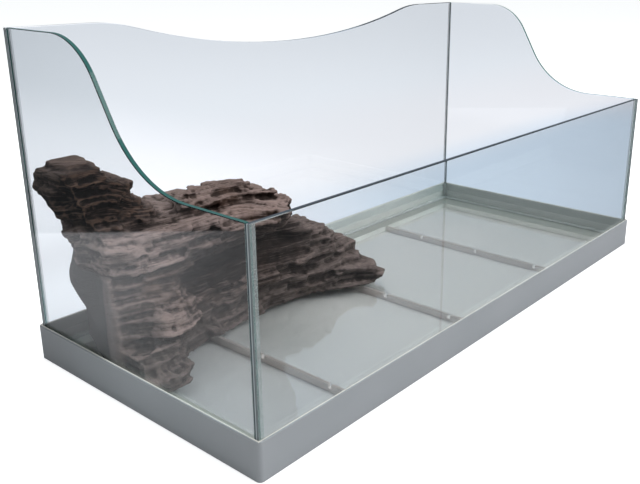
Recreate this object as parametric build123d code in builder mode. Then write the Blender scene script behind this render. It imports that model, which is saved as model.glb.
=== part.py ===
"""Open-topped turtle tank: a glass box with S-curved sides on a moulded frame, with a layered basking rock.

Millimetres, +Z up. X runs along the front, Y runs from the low front pane to the high back pane.
The origin is on the table, under the middle of the frame.
"""
import math
import os

from build123d import *

os.makedirs("parts", exist_ok=True)

# Moulded base frame
frame_length = 800.0
frame_depth = 360.0
skirt_height = 40.0
skirt_wall = 3.0
skirt_corner_radius = 5.0
skirt_edge_radius = 0.8
ledge_top = 8.0
ledge_thickness = 3.0
ledge_width_side = 36.0
ledge_width_front = 26.0
flange_wall = 2.5
web_thickness = 2.0
web_pitch = 88.0
rib_width = 4.0
rib_count = 3
rib_pitch = 220.0
rib_offset = -30.0
notch_width = 5.0
notch_depth = 4.5
notch_count = 3
notch_pitch = 100.0
notch_offset = -23.0

# Glass
glass = 5.0
bond_gap = 1.0
film = 0.5
floor_gap = 0.5
front_height = 234.0
back_height = 365.0
arris = 0.6

# Curved tops of the panes
side_crown_radius = 74.0
side_foot_radius = 115.0
side_straight = 43.6
side_curve_middle = -3.0
wave_depth = 38.5
wave_shoulder_flat = 96.0
wave_shoulder_radius = 200.0

# Silicone
bead = 3.5
bead_stop = 1.0
bond_height = 12.0
bond_below_lip = 1.5

# Basking rock
rock_length = 404.0
rock_depth = 190.0
footing_height = 37.0
middle_height = 65.0
platform_height = 48.0
crest_height = 25.0
tower_height = 58.0
cap_height = 6.0
stratum_height = 9.0
ledge_depth = 2.5
rock_gap = 4.0
rock_seat = 0.3
cut_run_back = 42.0
cut_run_side = 116.0
cut_height = 111.0
arch_run_back = 34.0
arch_run_side = 63.0
arch_height = 72.0
break_length = 24.0
break_depth = 3.0

# Places worked out from the sizes above
pane_x = frame_length / 2 - skirt_wall - bond_gap
pane_y = frame_depth / 2 - skirt_wall - bond_gap
inner_x = pane_x - glass
inner_y = pane_y - glass
floor_top = ledge_top + glass
bay_x = frame_length / 2 - skirt_wall - ledge_width_side
bay_y = frame_depth / 2 - skirt_wall - ledge_width_front
lip_length = frame_length - 2 * skirt_wall
lip_depth = frame_depth - 2 * skirt_wall
lip_corner_radius = skirt_corner_radius - skirt_wall
rib_places = [rib_offset + rib_pitch * (i - (rib_count - 1) / 2) for i in range(rib_count)]
notch_places = [notch_offset + notch_pitch * (i - (notch_count - 1) / 2) for i in range(notch_count)]
rock_left = -inner_x + rock_gap
rock_back = inner_y - rock_gap
rock_floor = floor_top + rock_seat


# Base frame: skirt, ledge that carries the glass, down-turned flange, webs and notched ribs
with BuildPart() as base_frame:
    with BuildSketch():
        RectangleRounded(frame_length, frame_depth, skirt_corner_radius)
    extrude(amount=skirt_height)
    fillet(base_frame.edges().group_by(Axis.Z)[-1], skirt_edge_radius)
    with BuildSketch(Plane.XY.offset(ledge_top)):
        RectangleRounded(lip_length, lip_depth, lip_corner_radius)
    extrude(amount=skirt_height, mode=Mode.SUBTRACT)
    with BuildSketch():
        RectangleRounded(lip_length, lip_depth, lip_corner_radius)
        Rectangle(2 * (bay_x + flange_wall), 2 * (bay_y + flange_wall), mode=Mode.SUBTRACT)
    extrude(amount=ledge_top - ledge_thickness, mode=Mode.SUBTRACT)
    with BuildSketch():
        Rectangle(2 * bay_x, 2 * bay_y)
    extrude(amount=ledge_top, mode=Mode.SUBTRACT)
    web_count_x = int(2 * bay_x // web_pitch)
    web_count_y = int(2 * bay_y // web_pitch)
    web_run_x = ledge_width_side - flange_wall
    web_run_y = ledge_width_front - flange_wall
    with BuildSketch():
        for side in (-1, 1):
            with Locations((0, side * (bay_y + flange_wall + web_run_y / 2))):
                with GridLocations(web_pitch, 1, web_count_x, 1):
                    Rectangle(web_thickness, web_run_y)
            with Locations((side * (bay_x + flange_wall + web_run_x / 2), 0)):
                with GridLocations(1, web_pitch, 1, web_count_y):
                    Rectangle(web_run_x, web_thickness)
    extrude(amount=ledge_top - ledge_thickness)
    with BuildSketch():
        for x in rib_places:
            with Locations((x, 0)):
                Rectangle(rib_width, 2 * bay_y)
    extrude(amount=ledge_top)
    with BuildSketch(Plane.XY.offset(ledge_top - notch_depth)):
        for x in rib_places:
            for y in notch_places:
                with Locations((x, y)):
                    Rectangle(2 * rib_width, notch_width)
    extrude(amount=notch_depth, mode=Mode.SUBTRACT)
base_frame.part.label = "base_frame"
export_step(base_frame.part, "parts/base_frame.step")

# Silicone bond between the skirt and the panes
with BuildPart() as frame_bond:
    with BuildSketch(Plane.XY.offset(skirt_height - bond_below_lip - bond_height)):
        RectangleRounded(lip_length, lip_depth, lip_corner_radius)
        Rectangle(2 * pane_x, 2 * pane_y, mode=Mode.SUBTRACT)
    extrude(amount=bond_height)
frame_bond.part.label = "frame_bond"
export_step(frame_bond.part, "parts/frame_bond.step")

# Floor pane, carried by the ledge and the ribs
with BuildPart() as floor_glass:
    with BuildSketch(Plane.XY.offset(ledge_top)):
        Rectangle(2 * (inner_x - floor_gap), 2 * (inner_y - floor_gap))
    extrude(amount=glass)
floor_glass.part.label = "floor_glass"
export_step(floor_glass.part, "parts/floor_glass.step")

# Low front pane with a straight top
with BuildPart() as front_glass:
    with BuildSketch(Plane.XZ.offset(inner_y)):
        with Locations((0, (ledge_top + front_height) / 2)):
            Rectangle(2 * pane_x, front_height - ledge_top)
    extrude(amount=glass)
    chamfer(front_glass.edges().group_by(Axis.Z)[-1], arris)
front_glass.part.label = "front_glass"
export_step(front_glass.part, "parts/front_glass.step")

# High back pane: two shoulders and one long hollow between them, all arcs meeting tangent
wave_half_span = pane_x - wave_shoulder_flat
wave_turn = 2 * math.degrees(math.atan(wave_depth / wave_half_span))
wave_radius = (wave_half_span**2 + wave_depth**2) / (2 * wave_depth) - wave_shoulder_radius
with BuildPart() as back_glass:
    with BuildSketch(Plane.XZ.offset(-pane_y)):
        with BuildLine():
            plateau = Line((-pane_x, back_height), (-wave_half_span, back_height))
            shoulder = JernArc(plateau @ 1, (1, 0), wave_shoulder_radius, -wave_turn)
            hollow = JernArc(shoulder @ 1, shoulder % 1, wave_radius, 2 * wave_turn)
            far_shoulder = JernArc(hollow @ 1, hollow % 1, wave_shoulder_radius, -wave_turn)
            far_side = Polyline(far_shoulder @ 1, (pane_x, back_height), (pane_x, ledge_top))
            Polyline(far_side @ 1, (-pane_x, ledge_top), plateau @ 0)
        make_face()
    extrude(amount=glass)
    long_edges = back_glass.edges().filter_by(lambda edge: edge.length > 2 * glass)
    chamfer(long_edges.filter_by(lambda edge: edge.center().Z > back_height - 2 * wave_depth), arris)
back_glass.part.label = "back_glass"
export_step(back_glass.part, "parts/back_glass.step")

# Side panes: high at the back, an S of two arcs and a short straight, low at the front
half_depth = inner_y - film
bend = side_crown_radius + side_foot_radius
fall = back_height - front_height
turn = math.acos((bend - fall) / math.hypot(bend, side_straight)) - math.atan2(side_straight, bend)
curve_run = bend * math.sin(turn) + side_straight * math.cos(turn)
curve_start = side_curve_middle + curve_run / 2


def side_pane(inside_face):
    """One side pane, drawn in the plane of its face nearest the tank's left end."""
    with BuildPart() as pane:
        with BuildSketch(Plane.YZ.offset(inside_face)):
            with BuildLine():
                plateau = Line((half_depth, back_height), (curve_start, back_height))
                crown = JernArc(plateau @ 1, (-1, 0), side_crown_radius, math.degrees(turn))
                slope = PolarLine(crown @ 1, side_straight, direction=crown % 1)
                foot = JernArc(slope @ 1, slope % 1, side_foot_radius, -math.degrees(turn))
                front_edge = Polyline(foot @ 1, (-half_depth, front_height), (-half_depth, ledge_top))
                Polyline(front_edge @ 1, (half_depth, ledge_top), plateau @ 0)
            make_face()
        extrude(amount=glass)
        long_edges = pane.edges().filter_by(lambda edge: edge.length > 2 * glass)
        chamfer(long_edges.filter_by(lambda edge: edge.center().Z > front_height - arris), arris)
    return pane


left_glass = side_pane(-pane_x)
left_glass.part.label = "left_glass"
export_step(left_glass.part, "parts/left_glass.step")
right_glass = side_pane(inner_x)
right_glass.part.label = "right_glass"
export_step(right_glass.part, "parts/right_glass.step")

# Silicone round the floor pane: a film at its edge and a bead in the corner above it
with BuildPart() as floor_seal:
    with BuildSketch(Plane.XY.offset(ledge_top)):
        Rectangle(2 * inner_x, 2 * inner_y)
        Rectangle(2 * (inner_x - floor_gap), 2 * (inner_y - floor_gap), mode=Mode.SUBTRACT)
    extrude(amount=glass)
    with BuildSketch(Plane.XY.offset(floor_top)):
        Rectangle(2 * inner_x, 2 * inner_y)
    with BuildSketch(Plane.XY.offset(floor_top + bead)):
        Rectangle(2 * inner_x, 2 * inner_y)
    loft()
    with BuildSketch(Plane.XY.offset(floor_top)):
        Rectangle(2 * (inner_x - bead), 2 * (inner_y - bead))
    with BuildSketch(Plane.XY.offset(floor_top + bead)):
        Rectangle(2 * inner_x - bead_stop / 2, 2 * inner_y - bead_stop / 2)
    loft(mode=Mode.SUBTRACT)
floor_seal.part.label = "floor_seal"
export_step(floor_seal.part, "parts/floor_seal.step")


def corner_seal(side_x, side_y, pane_height):
    """Silicone of one upright corner: a film behind the side pane's edge and a hollow-faced bead inside."""
    with BuildPart() as seal:
        with BuildSketch(Plane.XY.offset(ledge_top)):
            with Locations((side_x * (inner_x + glass / 2), side_y * (inner_y - film / 2))):
                Rectangle(glass, film)
        extrude(amount=pane_height - bead_stop - ledge_top)
        with BuildSketch(Plane.XY.offset(floor_top + bead)):
            with BuildLine():
                corner = (side_x * inner_x, side_y * inner_y)
                on_long_pane = (side_x * (inner_x - bead), side_y * inner_y)
                on_side_pane = (side_x * inner_x, side_y * (inner_y - bead))
                Polyline(on_side_pane, corner, on_long_pane)
                RadiusArc(on_long_pane, on_side_pane, side_x * side_y * bead)
            make_face()
        extrude(amount=pane_height - bead_stop - floor_top - bead)
    return seal


for name, side_x, side_y, pane_height in (
    ("corner_seal_front_left", -1, -1, front_height),
    ("corner_seal_front_right", 1, -1, front_height),
    ("corner_seal_back_left", -1, 1, back_height),
    ("corner_seal_back_right", 1, 1, back_height),
):
    seal = corner_seal(side_x, side_y, pane_height)
    seal.part.label = name
    export_step(seal.part, f"parts/{name}.step")

# Basking rock. An edge is drawn from the left glass, round the front, to the back glass, or all round where a
# course stands clear of both. Its points are (right, forward) from the tank's inner back left corner, in
# hundredths of the rock's length and depth. A course has a drawn edge at its foot, at its top and, on some, at
# even heights in between, and its strata come from these.
footing_edges = (
    ((0, 99), (7, 100), (12, 95), (14, 83), (17, 74), (31, 65), (56, 59), (74, 65), (85, 74), (91, 80),
     (95, 73), (97, 56), (95, 26), (91, 0)),
    ((0, 93), (7, 95), (13, 94), (15, 82), (19, 71), (32, 62), (56, 57), (74, 65), (86, 82), (92, 95),
     (97, 86), (98, 60), (94, 26), (90, 0)),
    ((0, 82), (7, 84), (13, 84), (15, 74), (20, 67), (32, 60), (56, 56), (74, 61), (84, 66), (90, 68),
     (94, 60), (95, 50), (92, 25), (89, 0)),
)
middle_edges = (
    ((0, 69), (6, 74), (12, 80), (17, 78), (22, 69), (26, 60), (50, 56), (71, 60), (77, 62), (83, 66),
     (90, 66), (98, 64), (99, 54), (94, 32), (90, 0)),
    ((0, 69), (5, 77), (10, 88), (16, 90), (23, 80), (28, 61), (50, 57), (70, 60), (76, 60), (82, 60),
     (88, 57), (92, 50), (94, 42), (92, 28), (88, 0)),
    ((0, 68), (5, 74), (11, 80), (17, 76), (23, 62), (27, 42), (50, 37), (70, 41), (75, 56), (80, 62),
     (85, 57), (88, 50), (88, 42), (87, 28), (84, 0)),
    ((0, 65), (5, 68), (11, 72), (18, 68), (24, 56), (28, 40), (50, 36), (66, 40), (72, 50), (77, 56),
     (81, 52), (82, 44), (81, 34), (80, 18), (78, 0)),
    ((0, 64), (5, 66), (12, 67), (20, 66), (28, 60), (33, 52), (50, 47), (64, 44), (68, 42), (70, 46),
     (72, 46), (72, 42), (73, 36), (76, 20), (76, 0)),
)
platform_edges = (
    ((0, 64), (5, 67), (12, 68), (20, 67), (29, 63), (41, 59), (51, 57), (59, 52), (68, 41), (74, 27), (75, 0)),
    ((0, 67), (5, 73), (12, 75), (20, 73), (29, 70), (41, 71), (52, 73), (60, 66), (66, 48), (71, 34), (71, 0)),
    ((0, 65), (5, 70), (12, 72), (20, 74), (30, 77), (41, 84), (52, 88), (59, 77), (64, 52), (68, 37), (68, 0)),
    ((0, 63), (5, 64), (12, 65), (20, 66), (30, 71), (41, 80), (50, 85), (57, 78), (61, 55), (64, 40), (64, 0)),
)
crest_edges = (
    ((25, 54), (37, 55), (48, 56), (52, 69), (57, 73), (59, 64), (59, 47), (57, 29), (45, 22), (32, 25)),
    ((24, 60), (36, 63), (47, 62), (51, 60), (54, 56), (56, 50), (56, 42), (53, 34), (44, 31), (32, 34)),
    ((28, 55), (37, 58), (46, 57), (48, 55), (50, 52), (51, 49), (51, 46), (49, 42), (42, 40), (34, 40)),
)
tower_edges = (
    ((0, 62), (10, 61), (21, 52), (27, 33), (28, 0)),
    ((0, 28), (7, 31), (13, 26), (15, 12), (15, 0)),
)
cap_edges = (
    ((4, 0), (4, 23), (9, 24), (12, 20), (14, 0)),
    ((4, 0), (5, 21), (9, 22), (11, 19), (13, 0)),
)


def edge_between(edges, share):
    """The edge at a share of a course's height, between the drawn edges below and above it."""
    place = share * (len(edges) - 1)
    below = min(int(place), len(edges) - 2)
    part = place - below
    return [
        (a[0] + (b[0] - a[0]) * part, a[1] + (b[1] - a[1]) * part)
        for a, b in zip(edges[below], edges[below + 1])
    ]


def broken_edge(edge, stratum):
    """The edge in millimetres, the stratum in or out by a ledge, and long runs broken into short faces."""
    reach = 1 + ledge_depth / rock_depth * math.sin(2.1 * stratum)
    corners = [(right * reach * rock_length / 100, forward * reach * rock_depth / 100) for right, forward in edge]
    broken = [corners[0]]
    for start, end in zip(corners, corners[1:]):
        run = math.dist(start, end)
        faces = max(1, round(run / break_length))
        for k in range(1, faces):
            out = break_depth / run * math.sin(2.3 * k + 1.9 * stratum)
            right = start[0] + (end[0] - start[0]) * k / faces + (start[1] - end[1]) * out
            forward = start[1] + (end[1] - start[1]) * k / faces + (end[0] - start[0]) * out
            broken.append((right, forward))
        broken.append(end)
    return broken


def rock_course(edges, bottom, height):
    """A stack of strata of uneven height, closed along the tank's corner if it starts on the left glass."""
    count = max(2, round(height / stratum_height))
    joints = [0, *((k + 0.3 * math.sin(2.6 * k)) / count for k in range(1, count)), 1]
    with BuildPart() as course:
        for k in range(count):
            edge = broken_edge(edge_between(edges, (joints[k] + joints[k + 1]) / 2), k)
            outline = [(rock_left + right, rock_back - forward) for right, forward in edge]
            if edge[0][0] == 0:
                outline.append((rock_left, rock_back))
            with BuildSketch(Plane.XY.offset(bottom + joints[k] * height)):
                with BuildLine():
                    Polyline(*outline, close=True)
                make_face()
            extrude(amount=(joints[k + 1] - joints[k]) * height)
    return course


# The corner behind the rock is open: a straight cut low down and an arched one under the tower
arch_normal = Vector(arch_run_side, -arch_run_back, 0).normalized()
arch_reach = arch_run_back * arch_run_side / math.hypot(arch_run_back, arch_run_side)
arch_plane = Plane(
    origin=(rock_left, rock_back, rock_floor + cut_height),
    x_dir=arch_normal,
    z_dir=arch_normal.cross(Vector(0, 0, 1)),
)
with BuildPart() as corner_cut:
    with BuildSketch(Plane.XY.offset(rock_floor)):
        with BuildLine():
            corner = (rock_left - rock_gap, rock_back + rock_gap)
            Polyline(
                corner,
                (rock_left + cut_run_back, rock_back + rock_gap),
                (rock_left + cut_run_back, rock_back),
                (rock_left, rock_back - cut_run_side),
                (rock_left - rock_gap, rock_back - cut_run_side),
                close=True,
            )
        make_face()
    extrude(amount=cut_height)
with BuildPart() as corner_arch:
    with BuildSketch(arch_plane):
        Ellipse(arch_reach, arch_height)
    extrude(amount=math.hypot(cut_run_back, cut_run_side), both=True)
    split(bisect_by=Plane.XY.offset(rock_floor + cut_height), keep=Keep.TOP)

platform_top = rock_floor + footing_height + middle_height + platform_height
for name, edges, bottom, height in (
    ("rock_footing", footing_edges, rock_floor, footing_height),
    ("rock_middle", middle_edges, rock_floor + footing_height, middle_height),
    ("rock_platform", platform_edges, platform_top - platform_height, platform_height),
    ("rock_crest", crest_edges, platform_top, crest_height),
    ("rock_tower", tower_edges, platform_top, tower_height),
    ("rock_cap", cap_edges, platform_top + tower_height, cap_height),
):
    course = rock_course(edges, bottom, height)
    with BuildPart() as piece:
        add(course.part)
        add(corner_cut.part, mode=Mode.SUBTRACT)
        add(corner_arch.part, mode=Mode.SUBTRACT)
    piece.part.label = name
    export_step(piece.part, f"parts/{name}.step")
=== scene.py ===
"""Looks of the open turtle tank: clear panes, a moulded grey frame, silicone and a layered basking rock."""
import math

import bpy
import numpy as np
from mathutils import Matrix, Vector
from mathutils.bvhtree import BVHTree


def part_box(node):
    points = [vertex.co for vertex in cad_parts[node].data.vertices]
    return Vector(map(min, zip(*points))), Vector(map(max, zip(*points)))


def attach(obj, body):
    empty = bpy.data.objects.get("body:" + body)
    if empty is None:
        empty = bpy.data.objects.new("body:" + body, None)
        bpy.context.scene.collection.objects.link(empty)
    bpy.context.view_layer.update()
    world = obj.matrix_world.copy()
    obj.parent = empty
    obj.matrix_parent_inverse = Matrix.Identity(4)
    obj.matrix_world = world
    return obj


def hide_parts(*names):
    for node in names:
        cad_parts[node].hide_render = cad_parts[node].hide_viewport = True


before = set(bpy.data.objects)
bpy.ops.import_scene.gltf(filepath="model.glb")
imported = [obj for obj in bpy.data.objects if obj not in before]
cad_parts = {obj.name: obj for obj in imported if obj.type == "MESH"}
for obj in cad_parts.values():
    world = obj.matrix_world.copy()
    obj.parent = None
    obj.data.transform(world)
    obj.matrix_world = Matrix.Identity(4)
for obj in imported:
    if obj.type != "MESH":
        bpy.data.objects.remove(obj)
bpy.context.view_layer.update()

bl_info = {
    "name": "Turtle tank",
    "version": (1, 0, 0),
    "blender": (4, 5, 0),
    "location": "View3D > Sidebar > Turtle tank",
    "description": "Finishes the panes, frame, silicone and basking rock of an open turtle tank",
    "category": "Object",
}

ROCK_COURSES = ("rock_footing", "rock_middle", "rock_platform", "rock_crest", "rock_tower", "rock_cap")
PANES = {
    ("side_glass", 0): ("left_glass", "right_glass"),
    ("long_glass", 1): ("front_glass", "back_glass"),
    ("floor_glass_finish", 2): ("floor_glass",),
}
SEALS = (
    "frame_bond", "floor_seal", "corner_seal_front_left", "corner_seal_front_right",
    "corner_seal_back_left", "corner_seal_back_right",
)

# Named values. Sizes are in metres, and places from the tank's middle, unless said otherwise.

# A face looks along an axis when that part of its direction is past this
ALONG_AXIS = 0.5

# Where each band of the long panes' end faces starts, and how much of the pale painted highlight the
# outermost keeps
PALE_BAND = 0.1724
SLATE_BAND = 0.1740
DIM_BAND = 0.1746
DIM_SHARE = 0.45

GROUND_COVER = 0.84
# How much painted pale glint the grinding noise puts on the ground edges
SIDE_PAINTED_GLINT = 0.04
LONG_PAINTED_GLINT = 0.12
CLEAR = (0.985, 0.985, 1.0)
SHADOW_TINT = (0.94, 0.955, 0.96)

# How far the frame's inside and its ribs reach from the middle, which take painted light, and how much
# painted shade covers its far left end and top faces
LIP_INSIDE = (0.3985, 0.1785)
RIB_REACH = (0.360, 0.150)
FAR_END = (-0.02, 0.18)
FAR_END_PAINTED_SHADE = 0.55
TOP_PAINTED_SHADE = 0.35
SHADED_SHARE = 0.5

# The silicone behind this depth and above this height is in the back corners, where less of it shows and
# painted shade darkens it
BACK_CORNERS = 0.16
ABOVE_FRAME = 0.04
BACK_CORNERS_THINNER = 0.10

# Noise on the finishes: how often it repeats per metre, its detail, and how high the plastic's stands
GRINDING = (700.0, 2.0)
MOTTLE = (9.0, 3.0)
PLASTIC_GRAIN = (900.0, 2.0)
SMEARS = (25.0, 3.0)
PLASTIC_RELIEF = 0.0004

# How the courses are joined, and how fine and how free of the panes the stone is
COURSE_LAP = 0.001
MERGE_DISTANCE = 1e-6
LEVEL_DISTANCE = 1e-5
COARSE_GRAIN = 0.0020
SOFTENING = 2
PANE_CLEARANCE = 0.0012
TOP_ROOM = 0.001
MOST_TRIANGLES = 190000

# Broken layers: how many there are, where the lowest starts, how they tilt and step, and their seeds
LAYERS = 240
LOWEST_LAYER = 0.1
TILT = (0.045, 0.06)
FAULT_STEP = 0.006
FAULTS = (0.085, 14)
SLAB_WANDER = 0.45
RAGGED_REACH = 0.007
RAGGED_SIZE = 0.028
RAGGED_SEEDS = (21, 22)
FLAKE_SHARE = 0.4
BED_SEEDS = (5, 30)
FLAKE_SEEDS = (6, 60)
HASH_STEPS = (73856093, 19349663, 83492791)
HASH_ENTRIES = 8192

# Swells of the stone, each as its height, the size of its lumps and its seed
WIDE_BEND = (0.011, 0.120, 11)
NEAR_BEND = (0.006, 0.045, 12)
FAULT_SWAY = (0.01, 0.05, 13)
BULGES = (0.0030, 0.050, 71)
PARTED = (1.8, 0.050, 91)
CHIPS = (0.0006, 0.0050, 101)
GRIT = (0.0003, 0.0026, 102)
CHIPS_HELD_BACK = 0.9

# Cracks, each as its depth and width
SLAB_CRACK = (0.0020, 0.0014)
CHIP_CRACK = (0.0008, 0.0012)
TOP_CRACK = (0.0012, 0.002)

# Gaps between layers: where in a layer they start and are full, and a flake's gap as a share of a bed's
BED_GAP = (0.7, 1)
FLAKE_GAP = (0.5, 1)
FLAKE_GAP_SHARE = 0.35
GAPS_PARTED = 0.45

# Sides and tops: how upright or level a face is where carving starts and is full, and its steps there
SIDE_FACES = (0.25, 0.65)
TOP_FACES = (0.45, 0.80)
BULGE_FLATNESS = (1, 1, 2.2)
CHIP_LEDGE = 0.42
DRAWN_IN = 0.0015
LAYER_SLOPE = 0.0024
TERRACE = 0.8
CHIP_LIFT = 0.0014
SLAB_LIFT = 0.0016
LID_REACH = 0.0045
LID_DROP = 0.0006
LID_FACING = 0.25

# How far each point stands out and how open to the sky it is, used for wear and for painted light and shade,
# with how many rounds its neighbours are averaged in
NORMAL_ROUNDS = 4
WEAR_LIGHT_SHADE_ROUNDS = 8
WEAR_LIGHT_SHADE_DEPTH = 0.0022
OPEN_ROUNDS = 2
SKY_TURNS = 5
SKY_REACH = 0.09
SKY_START = 0.0012
HIGH_SLOPE = 1.1
LOW_SLOPE = 0.35
LOW_TURN = 0.4

# The slanted cut at the back left corner, from that corner, with its swell and the rim at its left
CUT_RUN_BACK = 0.042
CUT_RUN_SIDE = 0.116
CUT_HEIGHT = 0.111
CUT_TOP = (0.002, -0.001)
CUT_FACE = (0.004, 0.002)
SWELL = 0.015
SWELL_FACE = (0.005, 0.002)
SWELL_SPREAD = 0.6
SWELL_REACH = 0.060
SWELL_FRONT = (0.080, 0.020)
SWELL_FOOT = (0.035, 0.072)
SWELL_TOP = (0.130, 0.085)
RIM_RIGHT = (0.005, 0.002)
RIM_FRONT = (0.140, 0.132)

# The tower, from its right end, foot and top: its painted shade, the lighter flakes at its back, and its lid
TOWER_RIGHT = (0, -0.030)
TOWER_FOOT = (-0.001, 0.016)
TOWER_LIGHT = 0.45
LIGHT_FRONT = (0.108, 0.128)
LIGHT_FOOT = (-0.035, -0.020)
LID_FOOT = (-0.013, -0.004)

# The crest's shade, from the crest's left end and foot, and the front right end that it leaves out
CREST_SHADE = 0.45
CREST_LEFT = (0.045, 0.095)
CREST_FRONT = (0.022, 0.050)
CREST_FOOT = (-0.012, 0)
END_LEFT = (-0.205, -0.180)
END_BACK = (0.085, 0.062)

# The brow and its lip, from the platform's foot and top, and the nose, where painted light lies
BROW_RIGHT = (-0.20, -0.27)
BROW_FOOT = (0.010, 0.018)
BROW_TOP = (0.012, 0)
LIP_LIGHT = 1.2
LIP_FOOT = (0.008, 0.013)
LIP_TOP = (0.024, 0.017)
NOSE_LIGHT = 0.8
NOSE_LEFT = (-0.215, -0.190)
NOSE_BACK = (0.080, 0.055)
NOSE_FOOT = (0.153, 0.159)

# Parts of the middle course, from its foot and top: a hollow under the brow with painted shade, a lobe, a
# foot and a bulge with painted light
HOLLOW_LEFT = (-0.295, -0.275)
HOLLOW_RIGHT = (-0.085, -0.105)
HOLLOW_FRONT = (0.052, 0.066)
HOLLOW_FOOT = (0.008, 0.018)
HOLLOW_ROOF = (-0.001, -0.012)
LOBE_LEFT = (-0.150, -0.090)
LOBE_TOP = (0.004, -0.012)
FOOT_TOP = (0.006, -0.008)
BULGE_LIGHT = 0.5
BULGE_RIGHT = (-0.27, -0.31)
BULGE_BACK = (0.060, 0.045)
BULGE_FOOT = (0.002, 0.012)
BULGE_TOP = (0.050, 0.034)

# The nose's tip from the stone's right end, and how smooth the smoother places are
TIP_LEFT = (-0.040, -0.012)
SMOOTHNESS = {"cut": 0.93, "rim": 0.8, "hollow": 0.7, "tip": 0.7, "lid": 0.8}

# What is drawn in or sunk before the carving. The tower's narrowing is a share of its width.
NARROWING = 0.12
NARROWED_RIGHT = (0.020, -0.005)
NARROWED_FOOT = (0.040, 0.045)
TOP_NARROWING = 0.20
TOP_NARROWED = (-0.002, -0.014)
CREST_SUNK = 0.004
CREST_SUNK_LEFT = (0.005, 0.035)
CREST_END_SUNK = 0.008
CREST_END_SUNK_LEFT = (0.055, 0.125)
CREST_SUNK_FRONT = (-0.005, 0.030)
CREST_SUNK_FOOT = (-0.013, 0.009)
SHOULDER_SUNK = 0.008
SHOULDER_LEFT = (-0.135, -0.090)
SHOULDER_FOOT = (-0.035, -0.008)

# What the stone's material reads at each vertex
STONE_NOTES = ("worn", "level", "slab", "cut", "rim", "dusty", "shaded", "tower", "even", "open")

# Noise on the stone: how often it repeats per metre, in beds across and up, its detail and its roughness
SEAMS = (28, 420, 4.0, 0.6)
FINE_BEDS = (30, 560, 4.0, 0.65)
STRATA = (45, 1300, 3.0, 0.6)
STAINS = (16.0, 4.0)
BLOTCHES = (60.0, 5.0, 0.65)
STONE_GRAIN = (420.0, 5.0, 0.65)

# How high the stone's relief stands, and how much of the dark colour is left in the deepest painted shade
STONE_RELIEF = 0.0019
SHADE_DARK_SHARE = 0.25

# The camera, fitted to the tank: its place in metres, turns in degrees and focus in pixels
CAMERA_PLACE = Vector((-0.7832, -0.6152, 0.4277))
CAMERA_AZIMUTH = -51.11
CAMERA_ELEVATION = 17.65
CAMERA_ROLL = 0.387
CAMERA_FOCUS = 783.2
CAMERA_CLIP = (0.02, 60)
SENSOR_WIDTH = 36
IMAGE_WIDTH = 640
IMAGE_HEIGHT = 484
IMAGE_CENTRE = (376.3, 213.1)

# The table, how far the tank's inside reaches over it, and where its near tones are measured from
TABLE_SIZE = 60
TABLE_DROP = 0.0003
TANK_REACH = (0.392, 0.172)
RIGHT_END = (0.95, 0.10, 0.0)

# Where the table's tones turn. The slanted ones run along a line whose slope is given.
RIGHT_TONE = (0.35, 1.25)
LEFT_TONE = (0.1, -0.2)
FARTHEST_TONE = (0.6, 1.3)
FAR_LEFT_ACROSS = (0.75, -0.10)
FAR_LEFT_ALONG = (0.42, 0.65)
NEAR_TO_FAR = (0.28, 0.50)
UNDER_TONE = (-0.42, -0.12)
UNDER_SLOPE = 0.5
MIRRORED_TONE = (-0.20, -0.06)
MIRRORED_SLOPE = 0.6
MIRRORED_LEFT_ACROSS = (-0.25, -0.5)
MIRRORED_LEFT_LINE = (1.266, 1.248)
MIRRORED_LEFT_SLOPE = -1.1

# Tones of the table, by where it is seen: through the glass a painted glow with a painted shadow near the
# right end, and painted shade under the tank
SEEN_STRAIGHT = (0.62, 0.62, 0.62)
NEAR_RIGHT = (0.39, 0.48, 0.60)
NEAR_MIDDLE = (0.60, 0.53, 0.55)
NEAR_LEFT = (0.80, 0.80, 0.84)
FAR_OFF = (0.63, 0.615, 0.645)
FARTHEST = (0.62, 0.635, 0.675)
FAR_LEFT = (0.86, 0.85, 0.89)
LIT = (0.84, 0.85, 0.86)
LIT_BEYOND = (0.30, 0.31, 0.32)
UNDER_LEFT = (0.385, 0.365, 0.362)
UNDER_RIGHT = (0.455, 0.418, 0.395)
MIRRORED_LEFT = (0.012, 0.010, 0.010)
MIRRORED_NEAR = (0.37, 0.36, 0.375)
MIRRORED_FAR = (0.66, 0.64, 0.67)

# The soft light as it is seen, mirrored and falling on matt surfaces, and each lamp's place, size and power
SKY_SEEN = (1, 1, 1)
SKY_MIRRORED = (0.42, 0.47, 0.52)
SKY_ON_MATT = (0.385, 0.400, 0.398)
LAMPS = {
    "key": ((1.2, -2.3, 2.6), 1.6, 80.0),
    "top": ((-0.10, 0.5, 3.0), 2.2, 36.0),
}


# Settings that a user would change

class GlassSettings(bpy.types.PropertyGroup):
    """Colours of the panes"""

    tint: bpy.props.FloatVectorProperty(
        name="Tint", description="Colour that the glass takes from light along its length",
        subtype="COLOR", size=3, min=0, max=1, default=(0.10, 0.62, 0.60),
    )
    depth: bpy.props.FloatProperty(
        name="Depth of colour", description="How strongly the glass colours light, per metre", default=8.5,
    )
    index: bpy.props.FloatProperty(name="Refractive index", description="Float glass", default=1.5)
    edge: bpy.props.FloatVectorProperty(
        name="Edge", description="Colour of the ground edges",
        subtype="COLOR", size=3, min=0, max=1, default=(0.016, 0.120, 0.108),
    )
    slate: bpy.props.FloatVectorProperty(
        name="Long edge", description="Colour of the long panes' top edges",
        subtype="COLOR", size=3, min=0, max=1, default=(0.020, 0.032, 0.052),
    )
    pale: bpy.props.FloatVectorProperty(
        name="Pale edge", description="Colour where a ground edge catches the light",
        subtype="COLOR", size=3, min=0, max=1, default=(0.42, 0.46, 0.48),
    )


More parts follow.
